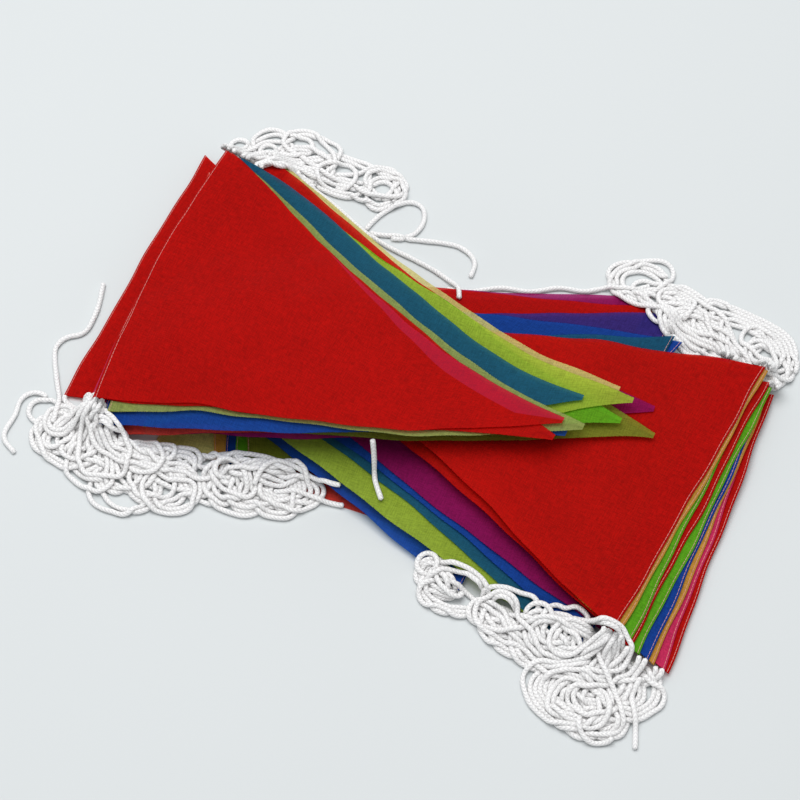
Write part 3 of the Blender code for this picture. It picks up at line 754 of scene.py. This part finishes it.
def part_them(x, free, a, b, least, share):
    """Moves pairs of balls apart to their least distance, by a share of what is missing."""
    gap = x[b] - x[a]
    size = np.maximum(np.linalg.norm(gap, axis=1), 1e-6)
    miss = np.minimum(size - least, 0)
    step = (share * miss / (size * np.maximum(free[a] + free[b], 1e-6)))[:, None] * gap
    for k in range(3):
        x[:, k] += free * (np.bincount(a, step[:, k], len(x)) - np.bincount(b, step[:, k], len(x)))


def keep_lengths(x, free, a, b, length):
    """Draws linked balls back to their distance."""
    gap = x[b] - x[a]
    size = np.maximum(np.linalg.norm(gap, axis=1), 1e-6)
    step = ((size - length) / (size * np.maximum(free[a] + free[b], 1e-6)))[:, None] * gap
    x[a] += step * free[a][:, None]
    x[b] -= step * free[b][:, None]


def settled(courses, ground, diameter):
    """Middle lines of the cords once they have dropped and pushed each other aside, as strings of balls."""
    radius = diameter / 2
    counts = [len(course.points) for course in courses]
    first = np.concatenate([[0], np.cumsum(counts)])
    owner = np.repeat(np.arange(len(courses)), counts)
    x = np.concatenate([course.points for course in courses])
    home = x[:, :2].copy()
    hold = np.repeat([course.hold for course in courses], counts)
    free = np.ones(len(x))
    for course, a, b in zip(courses, first, first[1:]):
        free[a : a + 2] = 0 if course.pinned[0] else 1
        free[b - 2 : b] = 0 if course.pinned[1] else 1
    links = np.flatnonzero(owner[:-1] == owner[1:])
    links = [links[links % 2 == odd] for odd in (0, 1)]
    spans = []
    for span in (2, 4, 7):
        a = np.flatnonzero(owner[:-span] == owner[span:])
        spans.append((a, a + span, 2 * BEND * math.sin(min(span * BALL_STEP / (2 * BEND), math.pi / 2))))
    slope_x, slope_y = np.gradient(ground.smooth, CELL_FINE)
    for number in range(ROUNDS):
        if number % 4 == 0:
            a, b = close_pairs(x, owner, 1.3 * diameter)
        late = number / ROUNDS
        x[:, 2] -= free * FALL_STEP * (1 if late < 0.75 else 0.25)
        x[:, :2] += (free * hold)[:, None] * (home - x[:, :2])
        for span in spans:
            part_them(x, free, *span, 0.3)
        for _ in range(2):
            for odd in links:
                keep_lengths(x, free, odd, odd + 1, BALL_STEP)
            part_them(x, free, a, b, PRESSED * diameter, 0.35)
        i, j = ground.indices(x)
        deep = ground.top[i, j] + radius - x[:, 2]
        beside = (deep > 0.0035) & (free > 0)
        up = (deep > 0) & ~beside & (free > 0)
        x[up, 2] += deep[up]
        away = np.stack([slope_x[i, j], slope_y[i, j]], axis=1)
        away /= np.maximum(np.linalg.norm(away, axis=1, keepdims=True), 1e-6)
        x[beside, :2] -= 0.0007 * away[beside]
        x[:, 2] = np.maximum(x[:, 2], radius * PRESSED)
    return [x[a:b] for a, b in zip(first, first[1:])]


def evenly(points, step):
    """The line again, with points a step apart."""
    along = np.concatenate([[0], np.cumsum(np.linalg.norm(np.diff(points, axis=0), axis=1))])
    count = max(4, int(round(along[-1] / step)) + 1)
    at = np.linspace(0, along[-1], count)
    return np.stack([np.interp(at, along, points[:, k]) for k in range(points.shape[1])], axis=1)


def through(points, parts=14):
    """A smooth curve through the points."""
    points = np.asarray(points, float)
    ends = np.concatenate([[2 * points[0] - points[1]], points, [2 * points[-1] - points[-2]]])
    t = (np.arange(parts) / parts)[:, None]
    curve = []
    for a, b, c, d in zip(ends, ends[1:], ends[2:], ends[3:]):
        curve.append(0.5 * (2 * b + t * (c - a) + t**2 * (2 * a - 5 * b + 4 * c - d) + t**3 * (3 * b - a - 3 * c + d)))
    return np.concatenate([*curve, points[-1:]])


def rounded(line, size):
    """The line with its bends opened out; size is how far the rounding reaches."""
    step = np.linalg.norm(np.diff(line, axis=0), axis=1).mean()
    reach = int(3 * size / step)
    weights = np.exp(-0.5 * (np.arange(-reach, reach + 1) * step / size) ** 2)
    weights /= weights.sum()
    before = 2 * line[0] - line[reach:0:-1]
    after = 2 * line[-1] - line[-2 : -reach - 2 : -1]
    padded = np.concatenate([before, line, after])
    return np.stack([np.convolve(padded[:, k], weights, mode="valid") for k in range(line.shape[1])], axis=1)


def bend_radii(line, reach):
    """The radius of the bend at each point, taken over that many points to both sides."""
    before, middle, after = line[: -2 * reach], line[reach:-reach], line[2 * reach :]
    a, b = middle - before, after - middle
    size = np.linalg.norm(a, axis=1) * np.linalg.norm(b, axis=1)
    turn = np.arccos(np.clip((a * b).sum(axis=1) / np.maximum(size, 1e-12), -1, 1))
    return np.sqrt(size) / (2 * np.sin(np.maximum(turn, 1e-4) / 2))


def opened(line, radius):
    """The line with every bend that is tighter than the radius opened out."""
    reach = 3
    for _ in range(260):
        tight = bend_radii(line, reach) < radius
        if not tight.any():
            break
        share = np.convolve(tight, np.ones(2 * reach + 1), mode="same") > 0
        middle = (line[: -2 * reach] + line[2 * reach :]) / 2
        line[reach:-reach] += 0.5 * share[:, None] * (middle - line[reach:-reach])
    return evenly(line, RING_STEP)


def beside_cloth(line, ground, kept=6):
    """Moves the middle of the line off cloth that is too high to climb."""
    slope_x, slope_y = np.gradient(ground.smooth, CELL_FINE)
    for _ in range(40):
        i, j = ground.indices(line)
        high = ground.smooth[i, j] > HIGH_CLOTH
        high[:kept] = high[-kept:] = False
        if not high.any():
            break
        away = np.stack([slope_x[i, j], slope_y[i, j]], axis=1)
        size = np.linalg.norm(away, axis=1, keepdims=True)
        line = line - 0.001 * np.where(high[:, None], away / np.maximum(size, 1e-6), 0)
    return line


def heading_end(sheets, ground, stack, number, side):
    """Where a cord comes out of a heading, its height there, and the direction that it takes."""
    index = next(k for k, s in enumerate(sheets) if s.stack == stack and s.number == number)
    sheet = sheets[index]
    corner = np.array(sheet.place(np.array([0.0015]), np.array([float(side)]))).ravel()
    inner = np.array(sheet.place(np.array([0.0015]), np.array([0.9 * side]))).ravel()
    way = (corner - inner) / np.linalg.norm(corner - inner)
    place = corner + 0.001 * way
    for _ in range(24):
        if not ground.covered(place, index):
            break
        place = place + 0.001 * way
    z = float(surface(place[:1], place[1:2], sheet.heights)[0]) + 0.0016
    return place, z, way


def on_loop(loop, angle, share):
    """A place on a loop with blunt ends, and the way that it runs there."""
    middle = np.array(on_plan(loop.x, loop.y))
    places = []
    for a in (angle, angle + 0.05):
        c, s = math.cos(a), math.sin(a)
        x = loop.long * MM * share * math.copysign(abs(c) ** 0.85, c)
        y = loop.short * MM * max(share, 0.7) * math.copysign(abs(s) ** 0.75, s)
        places.append(middle + turned(x, y, math.radians(loop.turn)))
    way = places[1] - places[0]
    return places[0], way / max(np.linalg.norm(way), 1e-9)


def loop_of(coil, rng):
    """One cord's own loop on a patch of its tangle."""
    long = max(13.5, coil.long * (1 - coil.mess * rng.uniform(0.2, 0.55)))
    short = min(max(10.5, coil.short * (1 - coil.mess * rng.uniform(0.1, 0.5))), long)
    spread = coil.mess * rng.uniform(-0.62, 0.62, 2)
    dx, dy = turned(coil.long * spread[0], coil.short * spread[1], math.radians(coil.turn))
    return Coil(coil.x + dx, coil.y + dy, long, short, coil.turn + coil.mess * rng.uniform(-40, 40), coil.mess)


def wound_course(row, sheets, ground, rng):
    """A cord's course on plan: out of its heading, round its loops, and back or to its bare end."""
    start, z, way = heading_end(sheets, ground, row.stack, row.number, row.side)
    points = [start, start + 0.006 * way]
    heading = way
    loops = [loop_of(COILS[row.tangle][number], rng) for number in row.coils]
    end = start + 0.004 * np.array([-way[1], way[0]]) * rng.choice([-1, 1])
    targets = [np.array(on_plan(loop.x, loop.y)) for loop in loops[1:]] + [end + 0.02 * way]
    for loop, target in zip(loops, targets):
        inward = np.array(on_plan(loop.x, loop.y)) - points[-1]
        to = np.array(turned(*-inward, -math.radians(loop.turn)))
        angle = math.atan2(to[1] / loop.short, to[0] / loop.long)
        turning = 1 if heading[0] * inward[1] - heading[1] * inward[0] > 0 else -1
        steps = int(round(8 * row.turns * rng.uniform(0.6, 1.15)))
        share = rng.uniform(0.8, 1.1)
        angle += turning * 0.5
        for step in range(steps + 8):
            share = np.clip(share + rng.uniform(-0.16, 0.16), 0.6, 1.2)
            place, run = on_loop(loop, angle, share)
            points.append(place + rng.uniform(-0.0018, 0.0018, 2))
            heading = turning * run
            towards = target - place
            towards = towards / max(np.linalg.norm(towards), 1e-9)
            if step >= steps and heading @ towards > 0.35:
                break
            angle += turning * 2 * math.pi / 8 * rng.uniform(0.75, 1.25)
    if row.far_end == "object":
        points += [end + 0.012 * way, end]
    return np.array(points), z


def ring_frames(line):
    """Two directions across the line at each of its points, without twist."""
    along = np.gradient(line, axis=0)
    along /= np.linalg.norm(along, axis=1, keepdims=True)
    up = np.array([0.0, 0.0, 1.0])
    first = np.cross(along, up)
    first /= np.maximum(np.linalg.norm(first, axis=1, keepdims=True), 1e-9)
    return along, first, np.cross(first, along)


def make_tube(name, line, diameter, material):
    """A round cord along the line, closed at both ends, with a UV map in turns and metres."""
    along, first, second = ring_frames(line)
    length = np.concatenate([[0], np.cumsum(np.linalg.norm(np.diff(line, axis=0), axis=1))])
    angle = np.arange(RING_SIDES) / RING_SIDES * 2 * np.pi
    girth = diameter / 2 * (1 + 0.04 * np.sin(length / 0.0047) + 0.03 * np.sin(length / 0.0019))
    around = np.cos(angle)[:, None] * first[:, None, :] + np.sin(angle)[:, None] * second[:, None, :]
    rings = line[:, None, :] + girth[:, None, None] * around
    tips = [line[0] - 0.3 * diameter * along[0], line[-1] + 0.3 * diameter * along[-1]]
    points = np.concatenate([rings.reshape(-1, 3), tips])
    k, s = np.meshgrid(np.arange(len(line) - 1), np.arange(RING_SIDES), indexing="ij")
    k, s = k.ravel(), s.ravel()
    n = (s + 1) % RING_SIDES
    low, high = k * RING_SIDES, (k + 1) * RING_SIDES
    sides = np.stack([low + s, low + n, high + n, high + s], axis=1)
    turn, next_turn = s / RING_SIDES, (s + 1) / RING_SIDES
    sides_uv = np.stack([turn, length[k], next_turn, length[k], next_turn, length[k + 1], turn, length[k + 1]], axis=1)
    s = np.arange(RING_SIDES)
    n, last = (s + 1) % RING_SIDES, (len(line) - 1) * RING_SIDES
    tip = np.full(RING_SIDES, len(points) - 2)
    caps = np.concatenate([np.stack([n, s, tip], axis=1), np.stack([last + s, last + n, tip + 1], axis=1)])
    turn, middle = s / RING_SIDES, (s + 0.5) / RING_SIDES
    start, end = np.zeros(RING_SIDES), np.full(RING_SIDES, length[-1])
    caps_uv = np.concatenate([
        np.stack([turn + 1 / RING_SIDES, start, turn, start, middle, start - 0.001], axis=1),
        np.stack([turn, end, turn + 1 / RING_SIDES, end, middle, end + 0.001], axis=1),
    ])
    obj = new_mesh_object(name, points, sides, caps)
    add_uv(obj, "braid", np.concatenate([sides_uv.ravel(), caps_uv.ravel()]))
    obj.data.materials.append(material)
    return obj


def declare_cord(obj, line, cord, far_end):
    length = float(np.linalg.norm(np.diff(line, axis=0), axis=1).sum())
    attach(obj, "root")
    tuple(line[0])
    [tuple(p) for p in line]


Course = namedtuple("Course", "points pinned hold")


def wound(row, number, sheets, ground, rng):
    """A wound cord as a string of balls, a little over the ones before it."""
    found = []
    for _ in range(6):
        points, z = wound_course(row, sheets, ground, rng)
        plan = rounded(evenly(through(points), RING_STEP), SOFTEN)
        plan = beside_cloth(evenly(plan, RING_STEP), ground)
        plan = opened(evenly(rounded(plan, SOFTEN), RING_STEP), BEND)
        tightest = float(bend_radii(plan, 5).min())
        found.append((min(tightest, 0.0068), -len(found), plan))
        if tightest > 0.0068:
            break
    plan = evenly(max(found, key=lambda each: each[:2])[2], BALL_STEP)
    i, j = ground.indices(plan)
    along = np.arange(len(plan)) * BALL_STEP
    heights = ground.top[i, j] + 0.0016 + 0.00035 * number + 0.012 * along
    leaving = np.clip(along / 0.024, 0, 1)
    heights = z * (1 - leaving) + heights * leaving
    back = row.far_end == "object"
    if back:
        coming = np.clip((along[-1] - along) / 0.024, 0, 1)
        heights = z * (1 - coming) + heights * coming
    return Course(np.concatenate([plan, heights[:, None]], axis=1), (True, back), 0.004)


def laid(row, ground):
    """A cord whose course shows, put down over the others."""
    plan = evenly(through([on_plan(x, y) for x, y in row.route]), RING_STEP)
    plan = evenly(opened(rounded(plan, SOFTEN), BEND), BALL_STEP)
    i, j = ground.indices(plan)
    heights = ground.top[i, j] + 0.012
    if row.start:
        down = np.clip(np.arange(len(plan)) * BALL_STEP / 0.010, 0, 1)
        heights = row.start * MM * (1 - down) + (ground.top[i, j] + 0.002) * down
    points = np.concatenate([plan, heights[:, None]], axis=1)
    return Course(evenly(points, BALL_STEP) if row.start else points, (bool(row.start), False), 0.15)


def filling_rows(tangle, count, rng):
    """Rows for short loops that fill a tangle evenly, out of the same headings as its longer cords."""
    rows = [row for row in WOUND if row.tangle == tangle]
    for number in range(count):
        patch = number % len(COILS[tangle])
        row = next(row for row in rows[number % len(rows) :] + rows if patch in row.coils)
        yield row._replace(coils=(patch,), turns=rng.uniform(0.8, 1.3), far_end="object")


def make_cords(sheets, cord):
    material = cord_material(cord)
    ground = Ground(sheets)
    rng = np.random.default_rng(cord.seed)
    rows = [(tangle, row) for tangle, count in FILLING.items() for row in filling_rows(tangle, count, rng)]
    filling = len(rows)
    rows += [(row.tangle, row) for row in WOUND]
    courses = [wound(row, number % 14, sheets, ground, rng) for number, (_, row) in enumerate(rows)]
    courses += [laid(row, ground) for row in LAID]
    lines = []
    for balls in settled(courses, ground, cord.diameter):
        lines.append(evenly(rounded(evenly(through(balls, 4), RING_STEP), 0.0014), RING_STEP))
    for tangle in FILLING:
        loops = [make_tube("loop", line, cord.diameter, material) for (name, _), line in zip(rows[:filling], lines) if name == tangle]
        obj = joined("loops_" + tangle, loops)
        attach(obj, "root")
        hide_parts("tangle_" + tangle)
    for number, (row, line) in enumerate(zip(WOUND, lines[filling:]), 1):
        obj = make_tube(f"wound_{row.tangle}_{number:02d}", line, cord.diameter, material)
        declare_cord(obj, line, cord, row.far_end)
    for row, line in zip(LAID, lines[-len(LAID) :]):
        obj = make_tube("laid_" + row.name, line, cord.diameter, material)
        declare_cord(obj, line, cord, row.far_end)
        if "cord_" + row.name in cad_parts:
            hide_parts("cord_" + row.name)


def joined(name, objects):
    """One object from several, in place of them."""
    for obj in bpy.context.selected_objects:
        obj.select_set(False)
    for obj in objects:
        obj.select_set(True)
    bpy.context.view_layer.objects.active = objects[0]
    bpy.ops.object.join()
    objects[0].name = objects[0].data.name = name
    return objects[0]


def stitch_tree(stitch, material):
    """A node tree that lays stitches along every line of a mesh."""
    tree = bpy.data.node_groups.new("stitches along a line", "GeometryNodeTree")
    interface = tree.interface
    interface.new_socket("Line", in_out="INPUT", socket_type="NodeSocketGeometry")
    for name, value in (("Pitch", stitch.pitch), ("Length", stitch.length), ("Thread", stitch.thread)):
        interface.new_socket(name, in_out="INPUT", socket_type="NodeSocketFloat").default_value = value
    interface.new_socket("Stitches", in_out="OUTPUT", socket_type="NodeSocketGeometry")
    given = add_node(tree, "NodeGroupInput")
    curve = add_node(tree, "GeometryNodeMeshToCurve", None, None, {"Mesh": given.outputs["Line"]})
    spots = add_node(tree, "GeometryNodeCurveToPoints", {"mode": "LENGTH"}, None, {"Curve": curve.outputs["Curve"], "Length": given.outputs["Pitch"]})
    radius = add_node(tree, "ShaderNodeMath", {"operation": "MULTIPLY"}, {1: 0.5}, {0: given.outputs["Thread"]})
    one = add_node(
        tree, "GeometryNodeMeshCylinder", {"fill_type": "NGON"}, {"Vertices": 5},
        {"Radius": radius.outputs[0], "Depth": given.outputs["Length"]},
    )
    facing = add_node(tree, "FunctionNodeAlignRotationToVector", {"axis": "Z"}, None, {"Vector": spots.outputs["Tangent"]})
    laid = add_node(
        tree, "GeometryNodeInstanceOnPoints", None, None,
        {"Points": spots.outputs["Points"], "Instance": one.outputs["Mesh"], "Rotation": facing.outputs["Rotation"]},
    )
    real = add_node(tree, "GeometryNodeRealizeInstances", None, None, {"Geometry": laid.outputs["Instances"]})
    finished = add_node(tree, "GeometryNodeSetMaterial", None, {"Material": material}, {"Geometry": real.outputs["Geometry"]})
    out = add_node(tree, "NodeGroupOutput")
    tree.links.new(finished.outputs["Geometry"], out.inputs["Stitches"])
    return tree


def apply_tree(name, lines, tree, values):
    """A plain mesh from the tree's result on a mesh of lines, each line a list of points."""
    mesh = bpy.data.meshes.new(name + "_lines")
    points, edges = [], []
    for line in lines:
        first = len(points)
        points += [tuple(map(float, p)) for p in line]
        edges += [(first + k, first + k + 1) for k in range(len(line) - 1)]
    mesh.from_pydata(points, edges, [])
    source = bpy.data.objects.new(name + "_source", mesh)
    bpy.context.scene.collection.objects.link(source)
    modifier = source.modifiers.new("tree", "NODES")
    modifier.node_group = tree
    for item in tree.interface.items_tree:
        if item.in_out == "INPUT" and item.name in values:
            modifier[item.identifier] = values[item.name]
    graph = bpy.context.evaluated_depsgraph_get()
    result = bpy.data.meshes.new_from_object(source.evaluated_get(graph), depsgraph=graph)
    result.name = name
    source.modifiers.clear()
    bpy.data.objects.remove(source, do_unlink=True)
    obj = bpy.data.objects.new(name, result)
    bpy.context.scene.collection.objects.link(obj)
    return obj


def make_stitching(sheets, stitch):
    """A line of pale stitches just inside the fold of every heading."""
    material = thread_material(stitch)
    tree = stitch_tree(stitch, material)
    values = {"Pitch": stitch.pitch, "Length": stitch.length, "Thread": stitch.thread}
    for stack in STACKS:
        lines = []
        for sheet in sheets:
            if sheet.stack == stack:
                side = np.linspace(-0.985, 0.985, 90)
                line = sheet.at(np.full(90, 0.0011), side)
                line[:, 2] += 0.0001
                lines.append(line)
        obj = apply_tree("stitching_" + stack, lines, tree, values)
        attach(obj, "root")


class BUNTING_OT_pennants(bpy.types.Operator):
    """Makes the cloth of every pennant, with its hem"""

    bl_idname = "bunting.pennants"
    bl_label = "Pennants"

    def execute(self, context):
        cloth = context.scene.bunting_cloth
        materials = {}
        for sheet in lay_sheets(cloth):
            colour = sheet.pennant.colour
            kind = (colour, sheet.name == SINGLE)
            if kind not in materials:
                materials[kind] = cloth_material(colour, cloth, kind[1])
            obj = make_sheet(sheet, cloth, materials[kind])
            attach(obj, "root")
            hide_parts(sheet.name)
        return {"FINISHED"}


class BUNTING_OT_stitching(bpy.types.Operator):
    """Sews the stitches along the headings"""

    bl_idname = "bunting.stitching"
    bl_label = "Stitching"

    def execute(self, context):
        make_stitching(lay_sheets(context.scene.bunting_cloth), context.scene.bunting_stitch)
        return {"FINISHED"}


class BUNTING_OT_cords(bpy.types.Operator):
    """Puts the braided cords down, tangle by tangle"""

    bl_idname = "bunting.cords"
    bl_label = "Cords"

    def execute(self, context):
        make_cords(lay_sheets(context.scene.bunting_cloth), context.scene.bunting_cord)
        return {"FINISHED"}


class BUNTING_OT_stage(bpy.types.Operator):
    """Makes the floor, the light and the camera"""

    bl_idname = "bunting.stage"
    bl_label = "Stage"

    def execute(self, context):
        stage = context.scene.bunting_stage
        bpy.ops.mesh.primitive_plane_add(size=8, location=(0, 0, -0.0002))
        floor = context.object
        floor.name = "floor"
        floor.data.materials.append(floor_material(stage))
        world = bpy.data.worlds.new("studio")
        context.scene.world = world
        world.use_nodes = True
        sky = world.node_tree.nodes["Background"]
        sky.inputs["Color"].default_value = (0.98, 0.99, 1.0, 1)
        sky.inputs["Strength"].default_value = stage.sky
        light = bpy.data.objects.new("key", bpy.data.lights.new("key", "AREA"))
        context.scene.collection.objects.link(light)
        light.data.size = 1.8
        light.data.energy = stage.key
        light.location = (-0.25, 0.35, 2.2)
        light.rotation_euler = (-light.location).to_track_quat("-Z", "Y").to_euler()
        add_camera(context)
        context.scene.view_settings.view_transform = "Standard"
        return {"FINISHED"}


def add_camera(context):
    """The photograph's view: 58 degrees down from a good step away."""
    elevation, distance = math.radians(58), 1.4
    aim = Vector((-0.01067, -0.00142, 0))
    camera = bpy.data.objects.new("camera", bpy.data.cameras.new("camera"))
    context.scene.collection.objects.link(camera)
    camera.location = aim + Vector((0, -distance * math.cos(elevation), distance * math.sin(elevation)))
    camera.rotation_euler = (math.pi / 2 - elevation, 0, 0)
    camera.data.sensor_width = 36
    camera.data.lens = 100.8
    context.scene.camera = camera


class BUNTING_PT_panel(bpy.types.Panel):
    """The steps that make the bunting, with their sizes and colours"""

    bl_idname = "BUNTING_PT_panel"
    bl_label = "Flag bunting"
    bl_space_type = "VIEW_3D"
    bl_region_type = "UI"
    bl_category = "Bunting"

    def draw(self, context):
        for step, group in STEPS:
            box = self.layout.box()
            box.operator(step.bl_idname)
            settings = getattr(context.scene, group)
            for name in settings.bl_rna.properties.keys():
                if name not in ("rna_type", "name"):
                    box.prop(settings, name)


STEPS = (
    (BUNTING_OT_stage, "bunting_stage"),
    (BUNTING_OT_pennants, "bunting_cloth"),
    (BUNTING_OT_stitching, "bunting_stitch"),
    (BUNTING_OT_cords, "bunting_cord"),
)
GROUPS = {
    "bunting_cloth": BuntingCloth,
    "bunting_cord": BuntingCord,
    "bunting_stitch": BuntingStitch,
    "bunting_stage": BuntingStage,
}
CLASSES = (*GROUPS.values(), *(step for step, _ in STEPS), BUNTING_PT_panel)


def register():
    for each in CLASSES:
        bpy.utils.register_class(each)
    for name, group in GROUPS.items():
        setattr(bpy.types.Scene, name, PointerProperty(type=group))


def unregister():
    for name in GROUPS:
        delattr(bpy.types.Scene, name)
    for each in reversed(CLASSES):
        bpy.utils.unregister_class(each)


def main():
    register()
    bpy.ops.bunting.stage()
    bpy.ops.bunting.cords()
    bpy.ops.bunting.pennants()
    bpy.ops.bunting.stitching()


if __name__ == "__main__":
    main()
